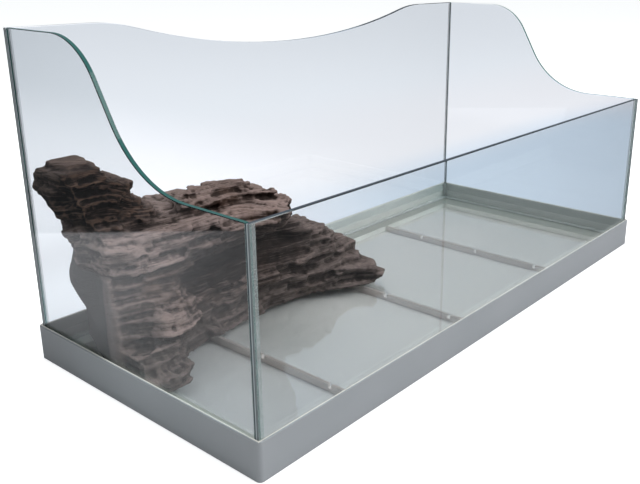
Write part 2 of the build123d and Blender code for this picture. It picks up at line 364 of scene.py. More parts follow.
class FrameSettings(bpy.types.PropertyGroup):
    """Colours of the moulded frame"""

    colour: bpy.props.FloatVectorProperty(
        name="Plastic", description="Colour of the moulded frame",
        subtype="COLOR", size=3, min=0, max=1, default=(0.325, 0.340, 0.362),
    )
    light: bpy.props.FloatVectorProperty(
        name="Light mottle", description="Colour of the frame's lighter mottling",
        subtype="COLOR", size=3, min=0, max=1, default=(0.360, 0.372, 0.395),
    )
    # The inner, inner end and rib colours are lighter copies of the plastic: painted light
    inner: bpy.props.FloatVectorProperty(
        name="Inner faces", description="Colour of the frame behind the glass",
        subtype="COLOR", size=3, min=0, max=1, default=(0.60, 0.58, 0.54),
    )
    inner_end: bpy.props.FloatVectorProperty(
        name="Inner end faces", description="Colour of the frame's end walls behind the glass",
        subtype="COLOR", size=3, min=0, max=1, default=(0.95, 0.92, 0.87),
    )
    rib: bpy.props.FloatVectorProperty(
        name="Ribs", description="Colour of the ribs under the floor pane",
        subtype="COLOR", size=3, min=0, max=1, default=(0.62, 0.54, 0.51),
    )


class SiliconeSettings(bpy.types.PropertyGroup):
    """Colours of the seals"""

    colour: bpy.props.FloatVectorProperty(
        name="Silicone", description="Colour of the clear silicone",
        subtype="COLOR", size=3, min=0, max=1, default=(0.74, 0.77, 0.76),
    )
    # Painted shade for the silicone in the tall back corners
    behind: bpy.props.FloatVectorProperty(
        name="Back corners", description="Colour of the silicone in the tall back corners",
        subtype="COLOR", size=3, min=0, max=1, default=(0.07, 0.07, 0.09),
    )


class RockSettings(bpy.types.PropertyGroup):
    """Shape and colours of the basking rock"""

    grain: bpy.props.FloatProperty(
        name="Grain", description="Size of the rock's mesh faces", unit="LENGTH", default=0.0017,
    )
    thin: bpy.props.FloatProperty(
        name="Thin layer", description="Height of the thinnest layers", unit="LENGTH", default=0.0075,
    )
    thick: bpy.props.FloatProperty(
        name="Thick layer", description="Height of the thickest layers", unit="LENGTH", default=0.0150,
    )
    ledge: bpy.props.FloatProperty(
        name="Ledge", description="How far one layer stands in or out of the next",
        unit="LENGTH", default=0.0055,
    )
    gap: bpy.props.FloatProperty(
        name="Gap", description="Depth of the gaps between layers", unit="LENGTH", default=0.0045,
    )
    slab: bpy.props.FloatProperty(
        name="Slab", description="Width of one broken slab within a layer", unit="LENGTH", default=0.060,
    )
    dark: bpy.props.FloatVectorProperty(
        name="Dark", description="Colour in the cracks",
        subtype="COLOR", size=3, min=0, max=1, default=(0.023, 0.017, 0.015),
    )
    brown: bpy.props.FloatVectorProperty(
        name="Brown", description="Colour of most layers",
        subtype="COLOR", size=3, min=0, max=1, default=(0.104, 0.074, 0.064),
    )
    umber: bpy.props.FloatVectorProperty(
        name="Umber", description="Colour of the plain low parts",
        subtype="COLOR", size=3, min=0, max=1, default=(0.086, 0.072, 0.068),
    )
    pale: bpy.props.FloatVectorProperty(
        name="Pale", description="Colour of worn edges",
        subtype="COLOR", size=3, min=0, max=1, default=(0.36, 0.27, 0.25),
    )
    # This colour is used for rust stains and for painted warm light on the tower's flake edges
    rust_and_warm_light: bpy.props.FloatVectorProperty(
        name="Rust", description="Colour of the warm stains",
        subtype="COLOR", size=3, min=0, max=1, default=(0.150, 0.090, 0.065),
    )
    grey: bpy.props.FloatVectorProperty(
        name="Grey", description="Colour of the cut faces",
        subtype="COLOR", size=3, min=0, max=1, default=(0.115, 0.110, 0.110),
    )


class StageSettings(bpy.types.PropertyGroup):
    """Light on the stage"""

    light: bpy.props.FloatProperty(
        name="Light", description="Level of the lamps and of the soft light", default=1.0,
    )


# Shader nodes written as expressions

class Value:
    """A socket of a node tree that adds Math nodes when it is used in arithmetic."""

    def __init__(self, maker, socket):
        self.maker = maker
        self.socket = socket

    def _math(self, operation, *values):
        return self.maker.node("ShaderNodeMath", {"operation": operation}, *values)

    def __add__(self, other):
        return self._math("ADD", self, other)

    def __radd__(self, other):
        return self._math("ADD", other, self)

    def __sub__(self, other):
        return self._math("SUBTRACT", self, other)

    def __rsub__(self, other):
        return self._math("SUBTRACT", other, self)

    def __mul__(self, other):
        return self._math("MULTIPLY", self, other)

    def __rmul__(self, other):
        return self._math("MULTIPLY", other, self)

    def over(self, limit):
        return self._math("GREATER_THAN", self, limit)

    def under(self, limit):
        return self._math("LESS_THAN", self, limit)

    def size(self):
        return self._math("ABSOLUTE", self)

    def clamped(self):
        return self.maker.node("ShaderNodeClamp", {}, self)

    def past(self, start, gain):
        """A share that rises from 0 as the value passes a start."""
        return ((self - start) * gain).clamped()

    def short_of(self, end, gain):
        """A share that rises from 0 as the value falls short of an end."""
        return ((end - self) * gain).clamped()

    def smooth(self, start, end):
        """A share that goes softly from 0 at a start to 1 at an end."""
        settings = {"interpolation_type": "SMOOTHSTEP", "clamp": True}
        return self.maker.node("ShaderNodeMapRange", settings, self, start, end)


class Maker:
    """Adds nodes to one tree."""

    def __init__(self, tree):
        self.tree = tree
        tree.nodes.clear()

    def node(self, kind, settings, *values, out=0, **named):
        """Adds a node of a kind, with its settings set first, then the values or links of its sockets."""
        new = self.tree.nodes.new(kind)
        for key, value in settings.items():
            setattr(new, key, value)
        for index, value in enumerate(values):
            self._set(new.inputs[index], value)
        for name, value in named.items():
            self._set(new.inputs[name.replace("_", " ")], value)
        return Value(self, new.outputs[out]) if new.outputs else new

    def _set(self, socket, value):
        if isinstance(value, Value):
            self.tree.links.new(value.socket, socket)
        else:
            wide = hasattr(socket.default_value, "__len__") and len(socket.default_value) == 4
            socket.default_value = (*value, 1) if wide and len(value) == 3 else value

    def mix(self, share, first, second):
        """A colour between two, by share."""
        new = self.tree.nodes.new("ShaderNodeMix")
        new.data_type = "RGBA"
        self._set(new.inputs[0], share)
        self._set(new.inputs[6], first)
        self._set(new.inputs[7], second)
        return Value(self, new.outputs[2])

    def axes(self, vector):
        """The three parts of a vector."""
        split = self.node("ShaderNodeSeparateXYZ", {}, vector).socket.node
        return [Value(self, output) for output in split.outputs]

    def place(self):
        return self.node("ShaderNodeTexCoord", {}, out="Object")

    def facing(self):
        """The three parts of the surface's own direction."""
        return self.axes(self.node("ShaderNodeTexCoord", {}, out="Normal"))

    def noise(self, place, scale, detail, roughness=0.5):
        return self.node(
            "ShaderNodeTexNoise", {}, Vector=place, Scale=scale, Detail=detail, Roughness=roughness,
        )


def new_material(name):
    material = bpy.data.materials.new(name)
    material.use_nodes = True
    return material, Maker(material.node_tree)


def settings_of(group):
    return getattr(bpy.context.scene, group)


def share_of(colour, share):
    return tuple(share * part for part in colour)


# The panes, the frame and the silicone

def end_bands(make, slate, pale):
    """The bands across the end faces of the long panes, with painted highlights in the pale bands."""
    depth = make.axes(make.place())[1].size()
    bands = make.mix(depth.over(PALE_BAND), slate, pale)
    bands = make.mix(depth.over(SLATE_BAND), bands, slate)
    return make.mix(depth.over(DIM_BAND), bands, share_of(pale, DIM_SHARE))


def glass_material(name, axis):
    """Float glass for panes that face along one axis, with ground edges on the other faces."""
    settings = settings_of("tank_glass")
    edge, slate, pale = tuple(settings.edge), tuple(settings.slate), tuple(settings.pale)
    material, make = new_material(name)
    facing = make.facing()
    grinding = make.noise(make.place(), *GRINDING)
    # Ground edges: a dark colour, painted highlight bands on the long panes' end faces, and painted glints
    if axis == 1:
        colour = make.mix(facing[0].size().over(ALONG_AXIS), slate, end_bands(make, slate, pale))
        painted_glint = grinding * LONG_PAINTED_GLINT
    else:
        colour = edge
        painted_glint = grinding * SIDE_PAINTED_GLINT
    body = make.node(
        "ShaderNodeBsdfPrincipled", {}, Base_Color=CLEAR, Roughness=0.0,
        IOR=settings.index, Transmission_Weight=1.0,
    )
    ground = make.node(
        "ShaderNodeBsdfPrincipled", {}, Base_Color=make.mix(painted_glint, colour, pale),
        Roughness=0.30 + grinding * 0.2, Specular_IOR_Level=0.15,
    )
    on_edge = facing[axis].size().under(ALONG_AXIS)
    solid = make.node("ShaderNodeMixShader", {}, on_edge * GROUND_COVER, body, ground)
    through = make.node("ShaderNodeBsdfTransparent", {}, Color=SHADOW_TINT)
    shadow = make.node("ShaderNodeLightPath", {}, out="Is Shadow Ray")
    surface = make.node("ShaderNodeMixShader", {}, shadow, solid, through)
    volume = make.node(
        "ShaderNodeVolumeAbsorption", {}, Color=tuple(settings.tint), Density=settings.depth,
    )
    make.node("ShaderNodeOutputMaterial", {}, Surface=surface, Volume=volume)
    return material


def frame_material():
    """Satin plastic, with painted light where it is seen through the glass and on the ribs, and painted shade
    on its far left end and top faces.
    """
    settings = settings_of("tank_frame")
    colour = tuple(settings.colour)
    material, make = new_material("moulded_plastic")
    place = make.place()
    across, along = make.axes(place)[:2]
    facing = make.facing()
    mottle = make.noise(place, *MOTTLE)
    grain = make.noise(place, *PLASTIC_GRAIN)
    inside = across.size().under(LIP_INSIDE[0]) * along.size().under(LIP_INSIDE[1])
    ribs = across.size().under(RIB_REACH[0]) * along.size().under(RIB_REACH[1])
    # Painted light: the faces inside the glass and the ribs take lighter copies of the plastic
    behind = make.mix(facing[0].size().over(ALONG_AXIS), tuple(settings.inner), tuple(settings.inner_end))
    shade = make.mix((mottle - 0.35) * 2.2, colour, tuple(settings.light))
    # Painted shade on the far end of the left face and on the top faces
    shaded = along.smooth(*FAR_END) * facing[0].under(-ALONG_AXIS) * FAR_END_PAINTED_SHADE
    shaded = shaded + facing[2].over(ALONG_AXIS) * TOP_PAINTED_SHADE
    shade = make.mix(shaded, shade, share_of(colour, SHADED_SHARE))
    shade = make.mix(inside, shade, behind)
    shade = make.mix(ribs, shade, tuple(settings.rib))
    bump = make.node("ShaderNodeBump", {}, Strength=0.08, Distance=PLASTIC_RELIEF, Height=grain)
    surface = make.node(
        "ShaderNodeBsdfPrincipled", {}, Base_Color=shade, Roughness=0.38 + (mottle - 0.5) * 0.2,
        Normal=bump, IOR=1.46,
    )
    make.node("ShaderNodeOutputMaterial", {}, Surface=surface)
    return material


def silicone_material():
    """Clear silicone, thinner and darkened with painted shade in the tall back corners."""
    settings = settings_of("tank_silicone")
    material, make = new_material("clear_silicone")
    place = make.place()
    along, up = make.axes(place)[1:]
    smear = make.noise(place, *SMEARS)
    # Where the silicone takes painted shade
    behind = along.over(BACK_CORNERS) * up.over(ABOVE_FRAME)
    surface = make.node(
        "ShaderNodeBsdfPrincipled", {}, Roughness=0.35, Specular_IOR_Level=0.3,
        Base_Color=make.mix(behind, tuple(settings.colour), tuple(settings.behind)),
        Alpha=0.20 + smear * 0.1 - behind * BACK_CORNERS_THINNER,
    )
    make.node("ShaderNodeOutputMaterial", {}, Surface=surface)
    return material


def dress(names, material):
    for name in names:
        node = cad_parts[name]
        node.data.materials.clear()
        node.data.materials.append(material)


class TANK_OT_glass(bpy.types.Operator):
    """Finish the five panes as clear float glass"""

    bl_idname = "tank.glass"
    bl_label = "Glass panes"

    def execute(self, context):
        for (name, axis), panes in PANES.items():
            dress(panes, glass_material(name, axis))
        return {"FINISHED"}


class TANK_OT_frame(bpy.types.Operator):
    """Finish the base frame as satin moulded plastic"""

    bl_idname = "tank.frame"
    bl_label = "Base frame"

    def execute(self, context):
        dress(("base_frame",), frame_material())
        return {"FINISHED"}


class TANK_OT_silicone(bpy.types.Operator):
    """Finish the seals as clear silicone"""

    bl_idname = "tank.silicone"
    bl_label = "Silicone"

    def execute(self, context):
        dress(SEALS, silicone_material())
        return {"FINISHED"}


# The basking rock, carved from its courses

def ramp(values, start, end):
    """Shares from 0 at a start to 1 at an end."""
    return np.clip((values - start) / (end - start), 0, 1)


def edge_from(place, edge):
    """An edge of a soft box, measured from a place."""
    return place + edge[0], place + edge[1]


def soft_box(points, across=(), depth=(), height=()):
    """Shares of 1 inside a box. Each of its edges is a pair: where the share is 0 and where it is 1."""
    share = np.ones(len(points))
    for values, edges in zip(points.T, (across, depth, height)):
        for start, end in edges:
            share = share * ramp(values, start, end)
    return share


def hashed(cells, seed):
    """A steady random number from -1 to 1 for each whole-numbered cell."""
    table = np.random.default_rng(seed).uniform(-1, 1, HASH_ENTRIES)
    x, y, z = (cells[:, axis].astype(np.int64) * step for axis, step in enumerate(HASH_STEPS))
    return table[(x ^ y ^ z) % len(table)]


def swells(points, height, size, seed):
    """Smooth noise up to a height each way, whose lumps have a size."""
    cells = points / size
    low = np.floor(cells)
    share = cells - low
    share = share * share * (3 - 2 * share)
    total = np.zeros(len(points))
    for corner in np.ndindex(2, 2, 2):
        weight = np.prod(np.where(corner, share, 1 - share), axis=1)
        total += weight * hashed(low + corner, seed)
    return height * total


def slabs(flat, layer, size, seed):
    """Broken slabs within each layer: a steady number for each slab, and how far off its nearest crack is."""
    cells = flat / size
    low = np.floor(cells)
    nearest = np.full(len(flat), np.inf)
    second = np.full(len(flat), np.inf)
    value = np.zeros(len(flat))
    for step in np.ndindex(3, 3):
        cell = low + np.array(step) - 1
        key = np.column_stack((cell, layer))
        wander = np.column_stack((hashed(key, seed), hashed(key, seed + 1)))
        middle = cell + 0.5 + SLAB_WANDER * wander
        away = np.hypot(*(middle - cells).T)
        closer = away < nearest
        second = np.where(closer, nearest, np.minimum(second, away))
        value = np.where(closer, hashed(key, seed + 2), value)
        nearest = np.where(closer, away, nearest)
    return value, (second - nearest) * size


def groove(away, depth, width):
    """How deep a crack is at a distance from its middle."""
    return depth * np.exp(-(away / width) ** 2)


class Layers:
    """Where broken layers of a range of heights run, and how each point lies in its own layer and slab."""

    def __init__(self, points, thin, thick, slab, seeds):
        bend = swells(points, *WIDE_BEND) + swells(points, *NEAR_BEND)
        swayed = points[:, :2] + swells(points, *FAULT_SWAY)[:, None]
        fault = slabs(swayed, np.zeros(len(points)), *FAULTS)[0]
        tilt = TILT[0] * points[:, 0] + TILT[1] * points[:, 1]
        self.level = points[:, 2] + bend + tilt + FAULT_STEP * fault
        heights = np.random.default_rng(seeds[0]).uniform(thin, thick, LAYERS)
        edges = np.cumsum(heights) - LOWEST_LAYER
        layer = np.searchsorted(edges, self.level)
        self.height = heights[layer]
        self.share = (self.level - edges[layer - 1]) / self.height
        self.edge = np.abs(2 * self.share - 1)
        sway = [swells(points, 1, RAGGED_SIZE, seed) for seed in RAGGED_SEEDS]
        ragged = points[:, :2] + RAGGED_REACH * np.column_stack(sway)
        self.slab, self.crack = slabs(ragged, layer, slab, seeds[1])


def beds_and_flakes(points, settings):
    """The thick beds and the thin flakes."""
    sizes = np.array((settings.thin, settings.thick, settings.slab))
    return Layers(points, *sizes, BED_SEEDS), Layers(points, *(FLAKE_SHARE * sizes), FLAKE_SEEDS)


def mesh_points(obj):
    points = np.empty(len(obj.data.vertices) * 3, np.float32)
    obj.data.vertices.foreach_get("co", points)
    return points.reshape(-1, 3).astype(float)


def mesh_normals(obj):
    normals = np.empty(len(obj.data.vertices) * 3, np.float32)
    obj.data.vertex_normals.foreach_get("vector", normals)
    return normals.reshape(-1, 3).astype(float)


def set_points(obj, points):
    obj.data.vertices.foreach_set("co", points.astype(np.float32).ravel())
    obj.data.update()


def smoothed(obj, values, times):
    """Values at the vertices, each averaged with its neighbours a number of times."""
    pairs = np.empty(len(obj.data.edges) * 2, np.int32)
    obj.data.edges.foreach_get("vertices", pairs)
    first, second = pairs.reshape(-1, 2).T
    count = np.bincount(pairs, minlength=len(values))[:, None]
    values = values.copy()
    for _ in range(times):
        total = np.empty_like(values)
        for axis in range(values.shape[1]):
            total[:, axis] = np.bincount(first, values[second, axis], len(values))
            total[:, axis] += np.bincount(second, values[first, axis], len(values))
        values = 0.5 * values + 0.5 * total / np.maximum(count, 1)
    return values


def use_modifier(obj, kind, **values):
    """Adds a modifier with its values and applies it."""
    modifier = obj.modifiers.new(kind.lower(), kind)
    for key, value in values.items():
        setattr(modifier, key, value)
    bpy.context.view_layer.objects.active = obj
    bpy.ops.object.modifier_apply(modifier=modifier.name)


def joined_courses(name):
    """One closed stone from copies of the courses, each lapped a little into the one below."""
    bpy.ops.object.select_all(action="DESELECT")
    for course in ROCK_COURSES:
        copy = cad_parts[course].copy()
        copy.data = copy.data.copy()
        copy.parent = None
        for key in list(copy.keys()):
            del copy[key]
        bpy.context.scene.collection.objects.link(copy)
        points = mesh_points(copy)
        if course != ROCK_COURSES[0]:
            lowest = points[:, 2] < points[:, 2].min() + LEVEL_DISTANCE
            points[lowest, 2] -= COURSE_LAP
            set_points(copy, points)
        copy.select_set(True)
        bpy.context.view_layer.objects.active = copy
    bpy.ops.object.join()
    stone = bpy.context.object
    stone.name = name
    bpy.ops.object.mode_set(mode="EDIT")
    bpy.ops.mesh.select_all(action="SELECT")
    bpy.ops.mesh.remove_doubles(threshold=MERGE_DISTANCE)
    bpy.ops.mesh.normals_make_consistent(inside=False)
    bpy.ops.object.mode_set(mode="OBJECT")
    stone.data.materials.clear()
    return stone


def find_cut(points):
    """The slanted cut's swell outwards, its face, and the rim beside it."""
    low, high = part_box("rock_footing")
    right = points[:, 0] - low.x
    forward = high.y - points[:, 1]
    corner = np.column_stack((right, forward, points[:, 2] - low.z))
    swell = SWELL * soft_box(corner, depth=(SWELL_FRONT,), height=(SWELL_FOOT, SWELL_TOP))
    swell *= right < SWELL_REACH
    away = right * CUT_RUN_SIDE + forward * CUT_RUN_BACK - CUT_RUN_BACK * CUT_RUN_SIDE
    away = away / math.hypot(CUT_RUN_BACK, CUT_RUN_SIDE)
    below = soft_box(corner, height=(edge_from(CUT_HEIGHT, CUT_TOP),))
    moved = swell * ramp(np.abs(away), *SWELL_FACE) * below
    face = ramp(np.abs(away + swell / 2), *edge_from(SWELL_SPREAD * swell, CUT_FACE)) * below
    rim = soft_box(corner, across=(RIM_RIGHT,), depth=(RIM_FRONT,)) * below
    return moved, face, rim


def find_tower(points):
    """The tower, darkened with painted shade that is lighter on the flakes high at its back, and the flat lid
    on it.
    """
    low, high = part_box("rock_tower")
    right = edge_from(high.x, TOWER_RIGHT)
    tower = soft_box(points, across=(right,), height=(edge_from(low.z, TOWER_FOOT),))
    light = soft_box(points, depth=(LIGHT_FRONT,), height=(edge_from(high.z, LIGHT_FOOT),))
    lid = soft_box(points, across=(right,), height=(edge_from(high.z, LID_FOOT),))
    return tower * (1 - TOWER_LIGHT * light), lid


def find_crest(points):
    """The shaded top of the crest, except its front right end."""
    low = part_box("rock_crest")[0]
    left = edge_from(low.x, CREST_LEFT)
    top = soft_box(points, across=(left,), depth=(CREST_FRONT,), height=(edge_from(low.z, CREST_FOOT),))
    end = soft_box(points, across=(END_LEFT,), depth=(END_BACK,))
    return CREST_SHADE * top * (1 - end)


def find_brow(points):
    """The brow of the platform with painted light, more of it along its lip, and on the nose at the front
    right.
    """
    low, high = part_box("rock_platform")
    brow_height = (edge_from(low.z, BROW_FOOT), edge_from(high.z, BROW_TOP))
    lip_height = (edge_from(low.z, LIP_FOOT), edge_from(low.z, LIP_TOP))
    brow = soft_box(points, across=(BROW_RIGHT,), height=brow_height)
    lip = soft_box(points, across=(BROW_RIGHT,), height=lip_height)
    nose = soft_box(points, across=(NOSE_LEFT,), depth=(NOSE_BACK,), height=(NOSE_FOOT,))
    return brow + LIP_LIGHT * lip + NOSE_LIGHT * nose


def find_middle(points):
    """The hollow under the brow, for painted shade, the plain lobe and foot, and the bulge at the left, for
    painted light.
    """
    low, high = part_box("rock_middle")
    hollow = soft_box(
        points,
        across=(HOLLOW_LEFT, HOLLOW_RIGHT),
        depth=(HOLLOW_FRONT,),
        height=(edge_from(low.z, HOLLOW_FOOT), edge_from(high.z, HOLLOW_ROOF)),
    )
    lobe = soft_box(points, across=(LOBE_LEFT,), height=(edge_from(high.z, LOBE_TOP),))
    foot = soft_box(points, height=(edge_from(low.z, FOOT_TOP),))
    bulge = soft_box(
        points,
        across=(BULGE_RIGHT,),
        depth=(BULGE_BACK,),
        height=(edge_from(low.z, BULGE_FOOT), edge_from(low.z, BULGE_TOP)),
    )
    return hollow, np.maximum(lobe, foot), bulge


class Places:
    """The parts of the stone that differ from the rest, each as a share at every point."""

    def __init__(self, points):
        self.swell, self.cut, self.rim = find_cut(points)
        self.hollow, self.even, self.bulge = find_middle(points)
        self.tower, self.lid = find_tower(points)
        self.crest = find_crest(points)
        self.brow = find_brow(points)
        self.tip = soft_box(points, across=(edge_from(points[:, 0].max(), TIP_LEFT),))
        self.smooth = np.max([share * getattr(self, name) for name, share in SMOOTHNESS.items()], axis=0)


def narrowed_tower(points):
    """How far the tower's upper part is drawn in towards its left side."""
    low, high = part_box("rock_tower")
    right = edge_from(high.x, NARROWED_RIGHT)
    part = soft_box(points, across=(right,), height=(edge_from(low.z, NARROWED_FOOT),))
    share = NARROWING + TOP_NARROWING * ramp(points[:, 2], *edge_from(high.z, TOP_NARROWED))
    return share * (points[:, 0] - low.x) * part


def sunk_crest(points):
    """How far the crest is sunk, more so towards its right end."""
    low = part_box("rock_crest")[0]
    front = edge_from(low.y, CREST_SUNK_FRONT)
    part = soft_box(points, depth=(front,), height=(edge_from(low.z, CREST_SUNK_FOOT),))
    depth = CREST_SUNK * ramp(points[:, 0], *edge_from(low.x, CREST_SUNK_LEFT))
    depth += CREST_END_SUNK * ramp(points[:, 0], *edge_from(low.x, CREST_END_SUNK_LEFT))
    return depth * part


def sunk_shoulder(points):
    """How far the middle course's top is sunk at its right."""
    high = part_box("rock_middle")[1]
    height = (edge_from(high.z, SHOULDER_FOOT),)
    return SHOULDER_SUNK * soft_box(points, across=(SHOULDER_LEFT,), height=height)


def trimmed(points):
    """The stone's rough shape, drawn in a little at its tower and sunk at its crest and shoulder."""
    inward = narrowed_tower(points)
    sunk = sunk_crest(points) + sunk_shoulder(points)
    return points - np.column_stack((inward, np.zeros(len(points)), sunk))


def carve(stone, settings):
    """Breaks the stone's sides into slabs and flakes along its layers, and terraces its tops."""
    points = trimmed(mesh_points(stone))
    normals = smoothed(stone, mesh_normals(stone), NORMAL_ROUNDS)
    normals /= np.linalg.norm(normals, axis=1)[:, None]
    place = Places(points)
    rough = 1 - place.smooth
    bed, flake = beds_and_flakes(points, settings)
    out = settings.ledge * bed.slab + CHIP_LEDGE * settings.ledge * flake.slab
    out += swells(points * BULGE_FLATNESS, *BULGES) - DRAWN_IN
    parted = np.clip(GAPS_PARTED + swells(points, *PARTED), 0, 1)
    out -= settings.gap * parted * ramp(bed.edge, *BED_GAP)
    out -= settings.gap * FLAKE_GAP_SHARE * ramp(flake.edge, *FLAKE_GAP)
    out -= groove(bed.crack, *SLAB_CRACK) + groove(flake.crack, *CHIP_CRACK)
    out += LAYER_SLOPE * (bed.share - 0.5)
    side = np.hypot(normals[:, 0], normals[:, 1])
    flat = normals[:, :2] / np.maximum(side, 1e-6)[:, None]
    sideways = ramp(side, *SIDE_FACES) * rough
    points[:, :2] += flat * (out * sideways)[:, None]
    upward = ramp(np.abs(normals[:, 2]), *TOP_FACES) * rough
    lift = TERRACE * (0.5 - flake.share) * flake.height + CHIP_LIFT * flake.slab + SLAB_LIFT * bed.slab
    points[:, 2] += upward * (lift - groove(bed.crack, *TOP_CRACK))
    points[:, 0] -= place.swell
    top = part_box("rock_cap")[1].z
    lid = (points[:, 2] > top - LID_REACH) & (normals[:, 2] > LID_FACING)
    points[lid, 2] = top - LID_DROP
    set_points(stone, points)


def roughen(stone):
    """Small chips and grain all over."""
    points = mesh_points(stone)
    rough = 1 - CHIPS_HELD_BACK * Places(points).smooth
    chips = swells(points, *CHIPS) + swells(points, *GRIT)
    set_points(stone, points + mesh_normals(stone) * (chips * rough)[:, None])


def keep_in_tank(stone):
    """Keeps the stone off the panes, flat on the floor and under its cap's top."""
    points = mesh_points(stone)
    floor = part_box("rock_footing")[0].z
    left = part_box("left_glass")[1].x + PANE_CLEARANCE
    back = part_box("back_glass")[0].y - PANE_CLEARANCE
    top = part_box("rock_cap")[1].z + TOP_ROOM
    points[:, 0] = np.maximum(points[:, 0], left)
    points[:, 1] = np.minimum(points[:, 1], back)
    points[:, 2] = np.clip(points[:, 2], floor, top)
    set_points(stone, points)


def openness(stone, points, normals):
    """How much of the sky each point sees past the rest of the stone, 0 to 1."""
    tree = BVHTree.FromPolygons(points.tolist(), [tuple(face.vertices) for face in stone.data.polygons])
    ways = [Vector((0, 0, 1))]
    for turn in range(SKY_TURNS):
        high = math.tau * turn / SKY_TURNS
        low = high + LOW_TURN
        ways.append(Vector((math.cos(high), math.sin(high), HIGH_SLOPE)).normalized())
        ways.append(Vector((math.cos(low), math.sin(low), LOW_SLOPE)).normalized())
    seen = np.zeros(len(points))
    for index, start in enumerate(points + normals * SKY_START):
        start = Vector(start)
        seen[index] = sum(tree.ray_cast(start, way, SKY_REACH)[0] is None for way in ways)
    return seen / len(ways)


def note_places(stone, settings):
    """Keeps numbers at each vertex for the stone's material."""
    points = mesh_points(stone)
    normals = mesh_normals(stone)
    # How far each point stands out: wear on its edges, painted shade in its hollows, painted light on the
    # tower's edges
    standing_out = np.sum((points - smoothed(stone, points, WEAR_LIGHT_SHADE_ROUNDS)) * normals, axis=1)
    bed, flake = beds_and_flakes(points, settings)
    place = Places(points)
    notes = (
        np.clip(0.5 + standing_out / WEAR_LIGHT_SHADE_DEPTH, 0, 1),
        bed.level,
        0.5 + 0.3 * bed.slab + 0.2 * flake.slab,
        place.cut,
        place.rim,
        # Painted light on the brow, its lip, the nose and the bulge
        np.maximum(place.brow, BULGE_LIGHT * place.bulge),
        # Painted shade in the hollow under the brow and on the crest's top
        np.maximum(place.hollow, place.crest),
        # Painted shade on the tower
        place.tower,
        place.even,
        smoothed(stone, openness(stone, points, normals)[:, None], OPEN_ROUNDS)[:, 0],
    )
    for name, values in zip(STONE_NOTES, notes):
        attribute = stone.data.attributes.new(name, "FLOAT", "POINT")
        attribute.data.foreach_set("value", values.astype(np.float32))


def bedded_noise(make, place, level, wide, tall, detail, roughness):
    """Noise in thin beds that follow the layers, repeating wide and tall times per metre."""
    across, along = make.axes(place)[:2]
    beds = make.node("ShaderNodeCombineXYZ", {}, across * wide, along * wide, level * tall)
    return make.noise(beds, 1.0, detail, roughness)


def rock_material():
    """Layered stone in coats: a brown body, stains, dust with painted light on its tops, painted shade in its
    hollows and on its crest and tower, then cracks, the cut face and its rim.
    """
    settings = settings_of("tank_rock")
    dark, brown, pale, rust_and_warm_light = (tuple(getattr(settings, key)) for key in ("dark", "brown", "pale", "rust_and_warm_light"))
    shade_dark = share_of(dark, SHADE_DARK_SHARE)
    material, make = new_material("layered_stone")
    worn, level, slab, cut, rim, dusty, shaded, tower, even, open_sky = (
        make.node("ShaderNodeAttribute", {"attribute_name": name}, out="Fac") for name in STONE_NOTES
    )
    place = make.place()
    upward = make.facing()[2]
    seams = bedded_noise(make, place, level, *SEAMS)
    fine = bedded_noise(make, place, level, *FINE_BEDS)
    strata = bedded_noise(make, place, level, *STRATA)
    stains = make.noise(place, *STAINS)
    blotches = make.noise(place, *BLOTCHES)
    grain = make.noise(place, *STONE_GRAIN)
    # The colour of cracks, also used for painted shade, darker on the tower
    crack = make.mix(tower, dark, shade_dark)

    mottle = (blotches - 0.5) * 1.8 + (seams - 0.5) * 1.4
    # Dust, wear on standing-out edges and mottling, with painted light on upward faces, on faces open to the
    # sky and on the brow
    dust_and_top_light = (worn - 0.54) * 0.8 + upward * (0.6 - dusty * 0.3) + mottle
    dust_and_top_light = dust_and_top_light + (open_sky - 0.60) * 1.2 + dusty * (0.36 + (stains - 0.5) * 3.4)
    # Painted warm light on the tower's standing-out flake edges and upward faces
    tower_edge_light = ((worn - 0.54) * 3.6 + (upward - 0.30) * 0.5 + (blotches - 0.5) * 2.8).clamped()
    coats = {
        "rust stains": (stains.past(0.55, 6) * 0.6, rust_and_warm_light),
        "dust_and_top_light": (dust_and_top_light.clamped() * (0.55 + dusty * 0.15 - shaded * 0.25), pale),
        "plain low parts": (even * 0.45, tuple(settings.umber)),
        # Painted shade on the hollow, the crest's top and the tower
        "dark hollow, crest and tower": (shaded * 0.62 + tower * 0.98, shade_dark),
        # Painted warm light on the tower's flakes
        "painted light on the tower": (tower_edge_light * tower * (0.62 - upward.clamped() * 0.28), rust_and_warm_light),
        "dark beds": (fine.past(0.53, 9) * (0.70 - even * 0.35), crack),
        "pale chips": (fine.short_of(0.45, 9) * (0.36 + dusty * 0.10 - even * 0.14 - tower * 0.22), pale),
        "rust beds of the tower": (fine.short_of(0.47, 7) * tower * 0.50, rust_and_warm_light),
        # Painted shade in hollows and where the sky is hidden
        "hollows": (worn.short_of(0.46, 4) * 0.5, crack),
        "hidden from the sky": (open_sky.short_of(0.42, 3) * 0.7, crack),
        "dark grain": (grain.past(0.52, 4) * 0.3, crack),
        "cut face": (cut * 0.85, tuple(settings.grey)),
        "rim of the cut": (rim * (0.2 + seams * 0.4), pale),
    }
    body = make.mix((seams * 1.4 + slab * 0.6 + blotches - 1.0).clamped(), dark, brown)
    for share, colour in coats.values():
        body = make.mix(share, body, colour)

    relief = seams * 0.5 + grain * 0.5 + strata * 0.6
    bump = make.node("ShaderNodeBump", {}, Strength=0.65, Distance=STONE_RELIEF, Height=relief)
    surface = make.node(
        "ShaderNodeBsdfPrincipled", {}, Base_Color=body, Roughness=0.60 + grain * 0.25, Normal=bump,
        Specular_IOR_Level=0.02,
    )
    make.node("ShaderNodeOutputMaterial", {}, Surface=surface)
    return material


